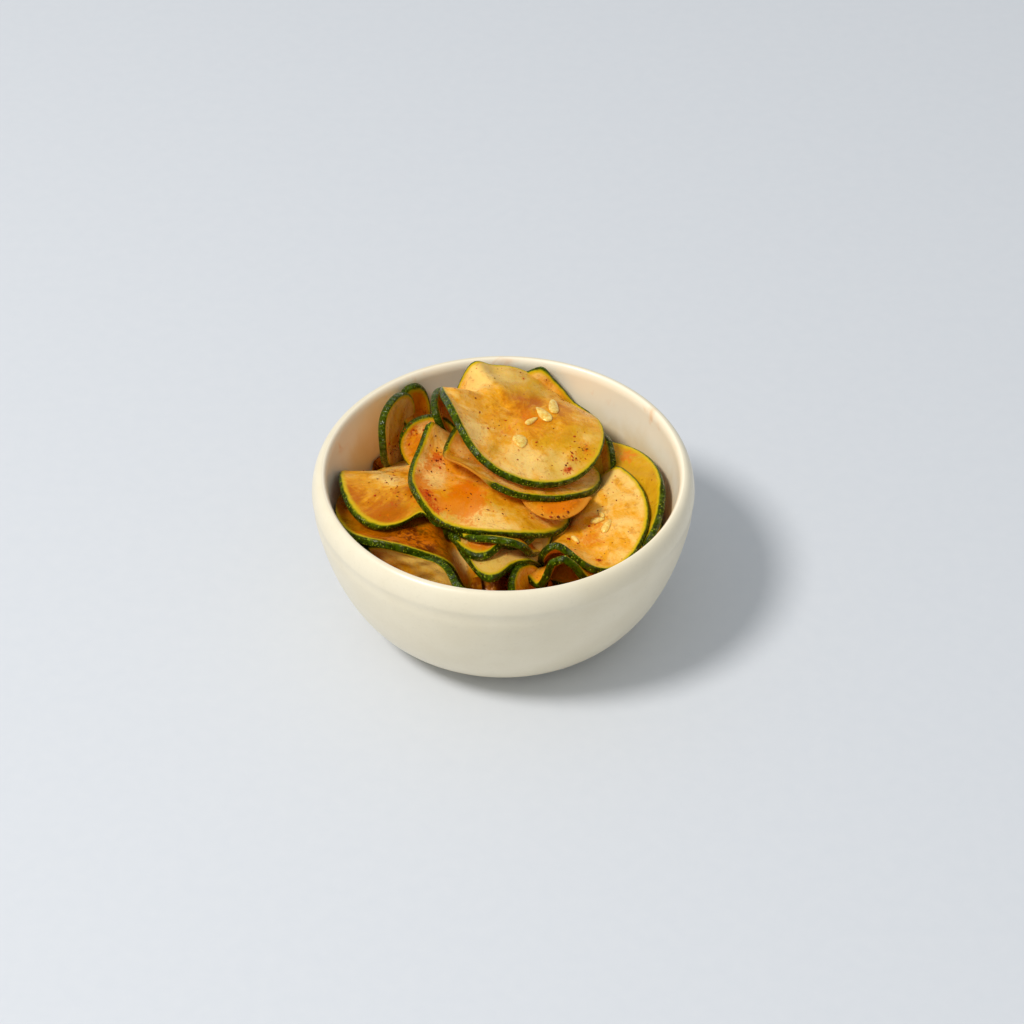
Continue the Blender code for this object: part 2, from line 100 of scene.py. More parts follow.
# A slice, by what its words stand for:
#   at: where its middle lies
#   facing, lean, spin: turned about the upright axis, leant toward the near side and turned in its
#     own plane, in degrees
#   radius, twist, oval: twist in degrees at the rim, ovalness as a share of the radius
#   folds: each with its direction round the rim and its width in degrees, its height and its
#     outward reach
#   creases: each with its two ends on the flat slice, its height, and its width to either side
#   under: the slices that lie on it, which are laid first
#   tone, olive: pale (0) to deep (1), or dark (2) with painted shade and oil; how olive it is
#   shade, oil, chilli: patches, each with the direction and the share of the radius of its middle,
#     its half width and its strength
#   bare: where its rim is flesh without skin, as a direction and a half width in degrees
SLICES = {
    "top": dict(
        at=(5.5, 22.5, 49), facing=16, lean=6, spin=-6, radius=26.5, twist=14, oval=-0.03,
        folds=[(181, 39, 10.5, -3), (136, 10, -8.5, 1), (114, 8, 4.5, -1), (41, 44, -14, -5.5)],
        creases=[(-18, 8, -10, 10.5, 3.5, 5, 3), (-8, 11, -4, 12.5, 1.5, 6, 3)], tone=0.55,
        shade=[(110, 0.8, 9, -0.6), (270, 0.72, 8, -0.45), (205, 0.7, 8, -0.3), (0, 0.6, 8, 0.2),
               (70, 0.22, 6, 0.3)],
        oil=[(335, 0.1, 4.0, 0.8), (225, 0.3, 3, 0.5), (322, 0.85, 3, 0.5)],
        chilli=[(295, 0.87, 1.6, 1.1), (308, 0.8, 3.5, 0.5), (325, 0.8, 2.5, 0.5),
                (212, 0.45, 3, 0.35)],
    ),
    "second": dict(
        at=(4.5, 12, 39), facing=-24, lean=-25, spin=29, radius=24, twist=4, oval=0.03,
        folds=[(266, 43, -2.5, -4), (218, 23, 3, 1), (159, 25, 8.5, -4.5)],
        under=["top"], tone=0.5, oil=[(295, 0.8, 5, 0.5), (200, 0.6, 5, 0.45)],
        bare=(216, 22),
    ),
    "middle": dict(
        at=(-6, 4, 40.5), facing=-3, lean=-9, spin=9, radius=23, twist=-16, oval=0.05,
        folds=[(127, 17, 7.5, 2), (207, 20, 4.5, 0), (323, 50, -13, 1.5), (158, 41, 5.5, -4)],
        under=["top", "second"], tone=0.45,
        shade=[(265, 0.9, 7, -0.3), (300, 0.8, 6, 0.2), (180, 0.6, 6, -0.5)],
        oil=[(242, 0.49, 4.2, 1.8), (225, 0.3, 4, 0.8), (212, 0.95, 4.5, 1.2), (190, 0.9, 4, 0.9),
             (225, 0.75, 4, 0.6), (150, 0.7, 4, 0.5), (325, 0.8, 5, 0.5), (250, 0.82, 5, 0.45),
             (168, 0.75, 4, 0.5)],
        chilli=[(210, 0.88, 3, 1.0), (225, 0.88, 2.5, 0.8), (148, 0.68, 2.2, 1.1),
                (320, 0.75, 5, 0.45)],
    ),
    "upturned": dict(
        at=(15, -2, 42.5), facing=0, lean=12, spin=0, radius=10.5, twist=0, oval=0,
        under=["top", "second"], tone=1.1, oil=[(270, 0.7, 6, 0.9)],
        chilli=[(270, 0.95, 4, 0.5)], bare=(270, 180),
    ),
    "right": dict(
        at=(19, -5, 33.5), facing=-25, lean=13, spin=27, radius=24, twist=-4, oval=-0.03,
        folds=[(258, 27, 12, -7.5), (230, 9, -7.5, -5)],
        under=["top", "second", "middle"], tone=0.35,
        shade=[(60, 0.7, 9, -0.25), (300, 0.75, 6, 0.2)],
        oil=[(302, 0.42, 4.5, 0.6), (348, 0.33, 3.5, 0.45), (180, 0.5, 7, 0.6), (270, 0.8, 5, 0.5)],
        chilli=[(295, 0.79, 1.0, 1.3), (40, 0.5, 3, 0.3), (300, 0.5, 4, 0.3)],
    ),
    "saddle": dict(
        at=(-24, 7, 39), facing=-11, lean=-23, spin=2, radius=23.5, twist=20, oval=0,
        folds=[(283, 15, 2.5, -7), (251, 46, -11, 2), (316, 10, -8.5, -3.5), (148, 19, -2, -1.5)],
        under=["middle"], tone=0.7,
        shade=[(150, 0.6, 8, -0.5), (90, 0.6, 8, -0.4), (222, 0.9, 6, 0.5), (258, 0.88, 6, 0.7),
               (215, 0.38, 5, -0.8)],
        oil=[(140, 0.55, 5, 0.4), (280, 0.65, 6, 0.4)],
        chilli=[(250, 0.6, 6, 0.45), (200, 0.4, 5, 0.35)],
    ),
    "right_outer": dict(
        at=(24, 4, 30.5), facing=-60, lean=22, spin=-12, radius=25.5, twist=15, oval=0.04,
        under=["top", "right"], tone=0.75, olive=0.6, oil=[(122, 0.85, 4, 0.6), (60, 0.6, 6, 0.3)],
    ),
    # its dark tone is painted shade under the middle slice
    "under_middle": dict(
        at=(-4, 8.5, 33), facing=0, lean=-2, spin=5, radius=26, twist=24, oval=-0.13,
        folds=[(271, 21, 9.5, 5), (319, 8, -19, 2), (189, 30, -1, -7)],
        under=["middle"], tone=1.3, oil=[(290, 0.8, 6, 0.7)],
    ),
    "near_upper": dict(
        at=(-3, 5.5, 32.5), facing=-4, lean=-7, spin=1, radius=23.5, twist=3, oval=-0.1,
        folds=[(265, 16, 2.5, 8), (279, 8, 2.5, -1), (335, 22, 2, -3.5), (192, 33, -3, -6)],
        under=["middle"], tone=0.6, oil=[(265, 0.9, 6, 0.7)],
    ),
    "near_lower": dict(
        at=(-5, -1.5, 33), facing=-5, lean=-6, spin=15, radius=25, twist=0, oval=-0.05,
        folds=[(261, 10, 2.5, 9.5), (308, 14, -7.5, -2), (226, 19, 2, -5), (340, 23, -0.5, -3.5),
               (190, 29, 4, -9.5)],
        under=["middle"], tone=0.1, olive=0.25, oil=[(235, 0.7, 6, 0.5)],
    ),
    # its dark tone and the dark patch at 266 degrees are painted shadow under the saddle's arch,
    # with oil there too
    "left_outer": dict(
        at=(-23.5, -2, 35.5), facing=-10, lean=-8, spin=10, radius=26, twist=16, oval=0.01,
        folds=[(222, 22, -2, 1.5), (261, 26, 1, -1), (311, 16, -13, -1)],
        under=["saddle", "near_lower"], tone=1.3,
        shade=[(266, 0.75, 9, 0.9), (308, 0.75, 5, -1.4)],
        oil=[(255, 0.85, 6, 0.7), (285, 0.6, 6, 0.6)],
    ),
    "curl": dict(
        at=(20.5, -5, 31), facing=0, lean=-4, spin=0, radius=25.5, twist=-3, oval=0,
        folds=[(261, 11, 12, 0.5), (286, 12, -3.5, 0), (245, 10, -5, -0.5)],
        under=["right"], tone=0.7, oil=[(262, 0.9, 7, 1.0)],
    ),
    "near_left": dict(
        at=(-22, -26, 27), facing=-32, lean=101, spin=8, radius=22, twist=-7, oval=0.09,
        folds=[(85, 44, -1, -7), (35, 18, 5, -1.5)],
        tone=0.2, olive=0.4, oil=[(158, 0.66, 6, 0.5)],
    ),
    # smaller than in the solids, so that it stays behind the slice before it
    "near_left_inner": dict(
        at=(-20, -27, 19), facing=-30, lean=95, spin=0, radius=12, twist=0, oval=0,
        tone=0.55,
    ),
    "arch": dict(
        at=(5.5, -29, 26), facing=72, lean=85, spin=-35, radius=10, twist=21, oval=0.01,
        tone=0.5, oil=[(273, 0.9, 5, 0.5)],
    ),
    "near_wall": dict(
        at=(2, -35.5, 24), facing=0, lean=118, spin=0, radius=18, twist=5, oval=0,
        folds=[(90, 25, 2, -1)], tone=0.8, oil=[(90, 0.7, 10, 0.7)],
    ),
    "near_wall_right": dict(
        at=(23.5, -27.5, 24), facing=40, lean=118, spin=0, radius=18, twist=-6, oval=0,
        folds=[(60, 25, 2, -1)], tone=0.7, oil=[(90, 0.7, 10, 0.5)],
    ),
    "near_wall_left": dict(
        at=(-31, -20, 24), facing=-57, lean=118, spin=0, radius=16, twist=0, oval=0,
        folds=[(90, 30, 1, -1)], tone=0.7, oil=[(90, 0.7, 10, 0.5)],
    ),
    "back_flap": dict(
        at=(-21.5, 23, 38.5), facing=-3, lean=72, spin=9, radius=9.5, twist=-12, oval=-0.03,
        tone=0.4, oil=[(162, 0.5, 4, 0.4), (90, 0.8, 4, 0.3)],
        chilli=[(130, 0.8, 3, 0.7)],
    ),
    "top_flap": dict(
        at=(-17.5, 30.5, 44.5), facing=88, lean=73, spin=-26, radius=9, twist=5, oval=0.13,
        tone=0.7, oil=[(158, 0.44, 6, 0.8)], chilli=[(158, 0.6, 4, 0.7)],
    ),
    "left_standing": dict(
        at=(-32, 29.5, 39), facing=63, lean=87, spin=3, radius=11.5, twist=3, oval=-0.05,
        folds=[(169, 38, 2, 0)],
        tone=0.25, olive=0.3, oil=[(200, 0.6, 6, 0.4)],
        chilli=[(230, 0.5, 4, 0.6)],
    ),
    "left_standing_back": dict(
        at=(-26.5, 38.5, 38), facing=56, lean=63, spin=-7, radius=7.5, twist=17, oval=-0.15,
        folds=[(75, 40, 3, 1)],
        tone=0.8, oil=[(45, 0.7, 6, 0.8)],
    ),
    "right_standing": dict(
        at=(19, 27, 24), facing=-58, lean=55, spin=13, radius=20, twist=8, oval=0,
        folds=[(87, 23, -5, -5)], tone=0.6,
    ),
    "far_standing": dict(
        at=(6.5, 36, 27), facing=-11, lean=59, spin=-12, radius=23.5, twist=-3, oval=0.02,
        folds=[(95, 8, 1, 2.5), (62, 16, -2, -3), (120, 14, -1.5, -1)], tone=0.45,
    ),
}

# A seed: its slice, its direction and share of the radius there, its heading, length and width.
SEEDS = [
    ("top", 22, 0.44, 58, 8.2, 3.5),
    ("top", 2, 0.25, 116, 7.0, 3.5),
    ("top", 255, 0.39, 10, 5.6, 4.6),
    ("top", 320, 0.12, 70, 5.0, 1.8),
    ("right", 340, 0.49, 80, 5.0, 2.4),
    ("right", 348, 0.36, 20, 4.4, 2.0),
    ("right", 2, 0.40, 120, 3.0, 1.6),
    ("right", 278, 0.36, 30, 3.4, 1.6),
]
SEED_HALF = 0.6  # half its thickness
SEED_TAPER = 0.35
SEED_LIFT = 0.2  # its middle above the slice's face
SEED_TURNS, SEED_RINGS = 14, 9

# Chilli flakes: how many of the loose ones each slice gets, against the others
LOOSE_FLAKES = {"top": 50, "middle": 44, "right": 40, "saddle": 30, "second": 12,
                "near_lower": 10, "near_left": 8, "right_outer": 10}
FLAKES = 330
PATCH_FLAKES = 0.6  # share of them that lie near a slice's chilli patches
PATCH_SCATTER = 0.75  # of a patch's half width
FLAKE_SIZE = (0.22, 0.75)  # half its length, before it is trimmed
FLAKE_TRIM = (0.6, 1.0)
FLAKE_SLIMNESS = (0.35, 0.9)  # its width, as a share of its length
FLAKE_HALF = 0.14  # half its thickness
FLAKE_JITTER = (0.6, 1.3)  # how far out each corner is, as a share of where it would be
FLAKE_LIFT = 0.06

# The marinade, in millimetres
MARINADE_LEVEL = 30.0  # where no slice is lower
MARINADE_LEAST = 12.0
MARINADE_UNDER = 11.0
MARINADE_GAP = 0.8  # to the wall
MARINADE_SINK = 1.7  # under the middle surface of the slices over it
MARINADE_PROBE = 3.0  # a slice is over a spot that has a point of it this near
MARINADE_TURNS, MARINADE_RINGS = 96, 36

# Camera and light: the lens in millimetres, places in metres, angles in degrees
CAMERA_PLACE = (0.0, -0.599165, 0.554596)
CAMERA_AIM = (0.002511, 0.003966, 0.028983)
CAMERA_LENS = 96.33
SENSOR_WIDTH = 36.0
KEY_AZIMUTH = -154.0
KEY_HEIGHT = 56.0
KEY_DISTANCE = 1.7
KEY_SIZE = 0.42
KEY_POWER = 19.8
KEY_COLOR = (1.0, 0.975, 0.94)
KEY_AIM = (0, 0, 0.03)
SKY_COLOR = (0.93, 0.97, 1.0, 1.0)
SKY_STRENGTH = 0.53
BOARD_HALF = 3.0


# ---------------------------------------------------------------- shapes


def wall_radius(z, foot, top, fullness):
    """Radius of a full, round wall at height z: r = foot + (top - foot) * (1 - (1 - s)^a)^(1 / b).

    The share s goes from 0 at the foot to 1 at the top, each of which is a radius and a height.
    """
    (foot_radius, foot_z), (top_radius, top_z), (a, b) = foot, top, fullness
    rise = np.clip((z - foot_z) / (top_z - foot_z), 0, 1)
    return foot_radius + (top_radius - foot_radius) * (1 - (1 - rise) ** a) ** (1 / b)


def outer_radius(z):
    top = BOWL_RADIUS, BOWL_HEIGHT - LIP_OUTER[1]
    return wall_radius(z, (BASE_RADIUS, 0), top, SIDE_FULLNESS)


def inner_radius(z):
    top = BOWL_RADIUS - LIP_OUTER[0] - LIP_INNER[0], BOWL_HEIGHT - LIP_INNER[1]
    return wall_radius(z, (WELL_RADIUS, FLOOR_TOP), top, WELL_FULLNESS)


def soft_step_below(height, limit, softness=0.4):
    """The height, or the limit where that is lower, with a soft change between the two."""
    over = height - limit
    return height - (over + np.sqrt(over**2 + softness**2)) / 2


def unit(vectors):
    """The vectors, each made one long."""
    return vectors / np.maximum(np.linalg.norm(vectors, axis=-1, keepdims=True), 1e-9)


def off_direction(angle, at):
    """Degrees from the direction at to the angle, from -180 to 180."""
    return (angle - at + 180) % 360 - 180


def flat_place(radius, angle, share):
    """X and Y on a flat round slice, from the angle (degrees) and the share of its radius."""
    return radius * share * np.cos(np.radians(angle)), radius * share * np.sin(np.radians(angle))


def slice_points(form, angle, share):
    """Middle surface of one slice, from the angle round it (degrees) and the share of its radius.

    A flat disc takes its folds, each h * share^p * exp(-((angle - at) / width)^2) high, and its
    creases, each h * exp(-(distance / width)^2) high with a width for either side of its line. It
    is twisted about its own Y axis, then turned and placed.
    """
    turn = np.radians(angle)
    r = form["radius"] * share * (1 + RIM_LUMP * np.sin(3 * turn))
    x = r * np.cos(turn) * (1 + form["oval"])
    y = r * np.sin(turn) * (1 - form["oval"])
    z = np.zeros_like(x)
    for at, width, height, reach in form.get("folds", []):
        part = share**RIM_FLOW * np.exp(-((off_direction(angle, at) / width) ** 2))
        x = x + reach * part * np.cos(turn)
        y = y + reach * part * np.sin(turn)
        z = z + height * part
    for x1, y1, x2, y2, height, right_width, left_width in form.get("creases", []):
        run = math.hypot(x2 - x1, y2 - y1)
        along = ((x - x1) * (x2 - x1) + (y - y1) * (y2 - y1)) / run
        beside = ((y - y1) * (x2 - x1) - (x - x1) * (y2 - y1)) / run
        past = np.maximum(np.maximum(-along, along - run), 0) / CREASE_END
        across = beside / np.where(beside > 0, left_width, right_width)
        z = z + height * np.exp(-(across**2) - past**2)
    twist = np.radians(form["twist"]) * y / form["radius"]
    x, z = x * np.cos(twist) - z * np.sin(twist), x * np.sin(twist) + z * np.cos(twist)
    facing, lean, spin = (math.radians(form[key]) for key in ("facing", "lean", "spin"))
    turned = Euler((lean, 0, 0)).to_matrix() @ Euler((0, 0, spin)).to_matrix()
    turned = np.array(Euler((0, 0, facing)).to_matrix() @ turned)
    return np.stack([x, y, z], -1) @ turned.T + np.array(form["at"], float)


def drape_limit(points, above):
    """Highest z at each point that stays under the points above, rising beside them at a slope."""
    limit = np.empty(len(points))
    for start in range(0, len(points), DRAPE_BATCH):
        batch = slice(start, start + DRAPE_BATCH)
        across = points[batch, None, :2] - above[None, :, :2]
        distance = np.hypot(across[..., 0], across[..., 1])
        limit[batch] = (above[None, :, 2] + DRAPE_SLOPE * distance).min(1)
    return limit


def inside_bowl(points, gap):
    """The points, pulled in radially where they would come nearer the inner wall than the gap."""
    points = points.copy()
    radius = np.hypot(points[..., 0], points[..., 1])
    room = inner_radius(points[..., 2]) - gap
    room = np.where(points[..., 2] > BOWL_HEIGHT + OVER_LIP, BOWL_RADIUS, room)
    points[..., :2] *= np.minimum(1, room / np.maximum(radius, 1e-6))[..., None]
    points[..., 2] = np.maximum(points[..., 2], FLOOR_TOP + FLOOR_GAP)
    return points


def settled_points(form, angle, share, laid):
    """The slice's points after it settles under the slices above it and inside the bowl."""
    points = slice_points(form, angle, share)
    if "under" in form:
        above = np.concatenate([laid[name] for name in form["under"]])
        flat = points.reshape(-1, 3)
        flat[:, 2] = soft_step_below(flat[:, 2], drape_limit(flat, above) - LAYING_GAP)
    upright = abs(math.sin(math.radians(form["lean"])))
    return inside_bowl(points, WALL_GAP + upright * RIM_THICKNESS / 2)


def dent_heights(number, x, y, depth):
    """Soft dents over a face: two crossed waves and a lower third one, fading toward the rim.

    A wave is sin(a * x + b * y + c * number), where the slice's number makes its dents its own.
    """
    first, second, third = (np.sin(a * x + b * y + c * number) for a, b, c in DENTS)
    return DENT_HEIGHT * (first * second + 0.6 * third) * np.clip(depth / RIM_SWELL, 0, 1)


def surface_frame(name, angle, share, laid):
    """Points on a slice's upper face with two directions along it and its upward normal."""
    form, step = SLICES[name], 0.01
    radius = form["radius"]
    share = np.maximum(share, 0.03)  # no way leads outward from the very middle
    middle = settled_points(form, angle, share, laid)
    out = unit(settled_points(form, angle, share + step, laid) - middle)
    side = settled_points(form, angle + math.degrees(step), share, laid) - middle
    up = unit(np.cross(out, side))
    x, y = flat_place(radius, angle, share)
    dents = dent_heights(list(SLICES).index(name), x, y, radius * (1 - share))
    face = middle + up * (FACE_THICKNESS / 2 + dents)[:, None]
    return face, out, np.cross(up, out), up


def new_piece(name, points, faces):
    """An object of the given points, in millimetres, and faces, shaded smooth."""
    mesh = bpy.data.meshes.new(name)
    mesh.from_pydata((points * MM).tolist(), [], faces)
    mesh.shade_smooth()
    mesh.update()
    piece = bpy.data.objects.new(name, mesh)
    bpy.context.scene.collection.objects.link(piece)
    return piece


def ring_quads(count, turns):
    """The faces between rings of points that follow one another, as a list of point numbers."""
    ring = np.arange(turns)
    here, beside = (np.arange(count - 1) * turns)[:, None], (ring + 1) % turns
    quads = [here + ring, here + beside, here + turns + beside, here + turns + ring]
    return np.stack(quads, -1).reshape(-1, 4).tolist()


def with_poles(rows):
    """The rows' vectors as one list, and after them the first row's mean and the last row's."""
    return np.concatenate([rows.reshape(-1, 3), rows[0].mean(0)[None], rows[-1].mean(0)[None]])


def closed_surface(name, rows):
    """A closed mesh from rows of points, each row a ring: quads between rings, a fan at each end.

    Rows run so that, seen from outside, the next row lies to the left of the ring's own direction.
    """
    count, turns = rows.shape[:2]
    ring = np.arange(turns)
    beside = (ring + 1) % turns
    end = (count - 1) * turns
    start_fan = np.stack([np.full(turns, count * turns), beside, ring], -1)
    end_fan = np.stack([np.full(turns, count * turns + 1), end + ring, end + beside], -1)
    faces = ring_quads(count, turns) + start_fan.tolist() + end_fan.tolist()
    return new_piece(name, with_poles(rows), faces)


def keep(piece, name, rows):
    """Keeps a vector for each point of a closed surface, which its material reads by the name."""
    layer = piece.data.attributes.new(name, "FLOAT_VECTOR", "POINT")
    layer.data.foreach_set("vector", with_poles(rows).astype(np.float32).ravel())


def dress(piece, material, slot, *nodes):
    """Gives a piece its material, hangs it under the root and hides the frame's nodes it stands in
    for; the slot is not used.
    """
    piece.data.materials.append(material)
    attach(piece, "root")
    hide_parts(*nodes)


def slice_section(radius):
    """Rows of a slice's section: how far each lies in from the rim, and its height from -1 to 1.

    They go from the middle of the upper face out to the rim, round its two corners and back
    underneath.
    """
    t = np.linspace(0, 1, FACE_RINGS, endpoint=False)
    face_in = (1 - t) ** FACE_CROWDING * (radius - CORNER) + CORNER
    turn = np.radians(np.linspace(0, 90, CORNER_RINGS))
    half = RIM_THICKNESS / 2
    corner_in = CORNER * (1 - np.sin(turn))
    corner_up = (half - CORNER * (1 - np.cos(turn))) / half
    edge_up = np.linspace(corner_up[-1], -corner_up[-1], CORNER_RINGS)[1:-1]
    flat_up = np.ones(FACE_RINGS)
    depth = [face_in, corner_in, np.zeros_like(edge_up), corner_in[::-1], face_in[::-1]]
    height = [flat_up, corner_up, edge_up, -corner_up[::-1], -flat_up]
    return np.concatenate(depth), np.concatenate(height)


def section_normals(middle):
    """Upward normals of a slice's middle surface, row by row, the same above and underneath.

    The face's last ring gives the direction for the whole rim.
    """
    upper = slice(0, len(middle) // 2 + 1)
    along = np.roll(middle, -1, 1) - np.roll(middle, 1, 1)
    up = unit(np.cross(np.gradient(middle[upper], axis=0), along[upper]))
    up[FACE_RINGS + 1:] = up[FACE_RINGS]
    return np.concatenate([up, up[:len(middle) - len(up)][::-1]])


def patches(spots, x, y, radius):
    """The sum of soft round spots: strength * exp(-(distance / half width)^2)."""
    total = np.zeros_like(x)
    for at, where, width, strength in spots:
        spot_x, spot_y = flat_place(radius, at, where)
        total = total + strength * np.exp(-((x - spot_x) ** 2 + (y - spot_y) ** 2) / width**2)
    return total


def bare_share(form, angle):
    """1 where a slice's rim is bare flesh, 0 where it has its skin."""
    if "bare" not in form:
        return np.zeros_like(angle)
    at, half_width = form["bare"]
    return np.clip((half_width - np.abs(off_direction(angle, at))) / BARE_EDGE + 0.5, 0, 1)


def slice_piece(name, number, laid, material):
    """One slice: its middle surface, given a thickness that swells toward its rounded rim."""
    form = SLICES[name]
    radius = form["radius"]
    depth, height = slice_section(radius)
    angle = np.arange(SLICE_TURNS) * 360 / SLICE_TURNS
    angle, share = np.meshgrid(angle, np.clip(1 - depth / radius, LEAST_SHARE, 1))
    depth, height = depth[:, None], height[:, None]
    x, y = flat_place(radius, angle, share)

    swell = np.clip(1 - depth / RIM_SWELL, 0, 1)
    swell = swell**2 * (3 - 2 * swell)
    bare = bare_share(form, angle)
    thickness = FACE_THICKNESS + (RIM_THICKNESS - FACE_THICKNESS) * swell
    thickness = thickness * (1 - BARE_THINNING * bare * swell)
    rise = height * thickness / 2 + dent_heights(number, x, y, depth)
    middle = settled_points(form, angle, share, laid)
    points = middle + section_normals(middle) * rise[..., None]
    piece = closed_surface("slice_" + name, inside_bowl(points, WALL_GAP))

    skin = np.clip(1 - depth / SKIN_REACH, 0, 1)
    oil, chilli, shade = (patches(form.get(kind, []), x, y, radius)
                          for kind in ("oil", "chilli", "shade"))
    core = np.clip(CORE_FADE[0] - CORE_FADE[1] * share, -0.5, 0.5)
    tone = form["tone"] + shade + CORE_TONE * core
    turn, whole = np.radians(angle), np.ones_like(x)
    for kind, values in (
        ("flat", (x, y, SPREAD * number + THROUGH * height)),
        ("rim", (depth, skin, height)),
        ("look", (oil, chilli, tone)),
        ("turn", (np.cos(turn), np.sin(turn), bare)),
        ("tint", (form.get("olive", 0), share, SPREAD * number)),
    ):
        keep(piece, kind, np.stack([value * whole for value in values], -1))
    dress(piece, material, "zucchini", "zucchini_heap")


def seed_pieces(laid, material):
    """Seeds: flat drops, r = width * sin(t) * (1 - taper * cos(t)), laid along a slice's face."""
    t = np.radians(np.linspace(8, 172, SEED_RINGS))[:, None]  # just short of its two ends
    around = np.radians(np.arange(SEED_TURNS) * 360 / SEED_TURNS)[None]
    girth = np.sin(t) * (1 - SEED_TAPER * np.cos(t)) / 1.05  # about 1 where it is widest
    count = SEED_RINGS * SEED_TURNS
    ends = [list(range(SEED_TURNS))[::-1], list(range(count - SEED_TURNS, count))]
    seed_faces = ring_quads(SEED_RINGS, SEED_TURNS) + ends
    points, faces = [], []
    for number, (name, angle, share, heading, length, width) in enumerate(SEEDS):
        radius, head = SLICES[name]["radius"], math.radians(angle + heading)
        ahead = length / 2 * np.cos(t) * np.ones_like(around)
        aside = width / 2 * girth * np.cos(around)
        x, y = flat_place(radius, angle, share)
        x = (x + ahead * math.cos(head) - aside * math.sin(head)).ravel()
        y = (y + ahead * math.sin(head) + aside * math.cos(head)).ravel()
        share = np.hypot(x, y) / radius
        face, _, _, up = surface_frame(name, np.degrees(np.arctan2(y, x)), share, laid)
        lift = SEED_LIFT + SEED_HALF * girth * np.sin(around)
        points.append(face + up * lift.reshape(-1, 1))
        faces += [[number * count + corner for corner in corners] for corners in seed_faces]
    piece = new_piece("seeds", np.concatenate(points), faces)
    dress(piece, material, "zucchini", "zucchini_heap")


def flake_places(draw):
    """Slices, directions and shares for the flakes: some near chilli patches, some anywhere.

    A patch's strength times its half width says how often it is chosen. No flake lies past the
    rim.
    """
    spots = [(name, *spot) for name, form in SLICES.items() for spot in form.get("chilli", [])]
    amount = np.array([strength * width for *_, width, strength in spots])
    loose, chance = list(LOOSE_FLAKES), np.array(list(LOOSE_FLAKES.values()), float)
    for _ in range(FLAKES):
        if draw.uniform() < PATCH_FLAKES:
            name, at, where, width, _ = spots[draw.choice(len(amount), p=amount / amount.sum())]
            radius = SLICES[name]["radius"]
            x, y = draw.normal(0, PATCH_SCATTER * width, 2) + flat_place(radius, at, where)
            yield name, math.degrees(math.atan2(y, x)), min(math.hypot(x, y) / radius, 0.97)
        else:
            name = loose[draw.choice(len(loose), p=chance / chance.sum())]
            yield name, draw.uniform(0, 360), math.sqrt(draw.uniform(0, 0.9))


def flake_pieces(laid, material):
    """Chilli flakes: flat eight-sided crumbs with jittered corners, strewn over the slices."""
    draw = np.random.default_rng(seed=7)
    corners = np.array([(1, 0, 0), (0, 1, 0), (-1, 0, 0), (0, -1, 0), (0, 0, 1), (0, 0, -1)], float)
    sides = np.array([(0, 1, 4), (1, 2, 4), (2, 3, 4), (3, 0, 4),
                      (1, 0, 5), (2, 1, 5), (3, 2, 5), (0, 3, 5)])
    points, faces = [], []
    for number, (name, angle, share) in enumerate(flake_places(draw)):
        place = np.array([angle]), np.array([share])
        face, out, side, up = (vectors[0] for vectors in surface_frame(name, *place, laid))
        size = draw.uniform(*FLAKE_SIZE) * draw.uniform(*FLAKE_TRIM)
        shape = corners * (size, size * draw.uniform(*FLAKE_SLIMNESS), FLAKE_HALF)
        shape = shape * draw.uniform(*FLAKE_JITTER, shape.shape)
        turn = draw.uniform(0, math.tau)
        along = out * math.cos(turn) + side * math.sin(turn)
        axes = np.stack([along, np.cross(up, along), up])
        points.append(shape @ axes + face + up * FLAKE_LIFT)
        faces.append(sides + number * len(corners))
    piece = new_piece("chilli_flakes", np.concatenate(points), np.concatenate(faces).tolist())
    dress(piece, material, "zucchini", "zucchini_heap")


def bowl_piece(material):
    """The bowl: (r, z) points up the outside and down the inside, turned round the upright axis."""
    crest = BOWL_RADIUS - LIP_OUTER[0]
    lip_foot = BOWL_HEIGHT - LIP_OUTER[1]
    well_top = BOWL_HEIGHT - LIP_INNER[1]
    groove, drop, half_width = SHOULDER
    base = np.linspace(POLE_RADIUS, BASE_RADIUS, 10)[:-1]
    side_z = lip_foot * np.linspace(0, 1, 60) ** WALL_CROWDING
    side = outer_radius(side_z) - groove * np.exp(-(((side_z - lip_foot + drop) / half_width) ** 2))
    outer_turn = np.radians(np.linspace(90, 0, 17)[1:])
    inner_turn = np.radians(np.linspace(90, 0, 11)[1:-1])
    well_z = FLOOR_TOP + (well_top - FLOOR_TOP) * np.linspace(1, 0, 50) ** WALL_CROWDING
    floor = np.linspace(WELL_RADIUS, POLE_RADIUS, 8)[1:]
    outside = [
        (base, np.zeros_like(base)),
        (side, side_z),
        (crest + LIP_OUTER[0] * np.sin(outer_turn),
         BOWL_HEIGHT - LIP_OUTER[1] * (1 - np.cos(outer_turn))),
    ]
    inside = [
        (crest - LIP_INNER[0] * np.cos(inner_turn), well_top + LIP_INNER[1] * np.sin(inner_turn)),
        (inner_radius(well_z), well_z),
        (floor, np.full_like(floor, FLOOR_TOP)),
    ]
    r, z = np.concatenate(outside + inside, axis=1)[..., None]
    turn = np.radians(np.arange(BOWL_TURNS) * 360 / BOWL_TURNS)
    rows = np.stack([r * np.cos(turn), r * np.sin(turn), z * np.ones_like(turn)], -1)
    piece = closed_surface("glazed_bowl", rows)
    within = np.zeros_like(rows)
    within[sum(len(part[0]) for part in outside):, :, 0] = 1
    keep(piece, "wall", within)
    dress(piece, material, "glaze", "bowl")


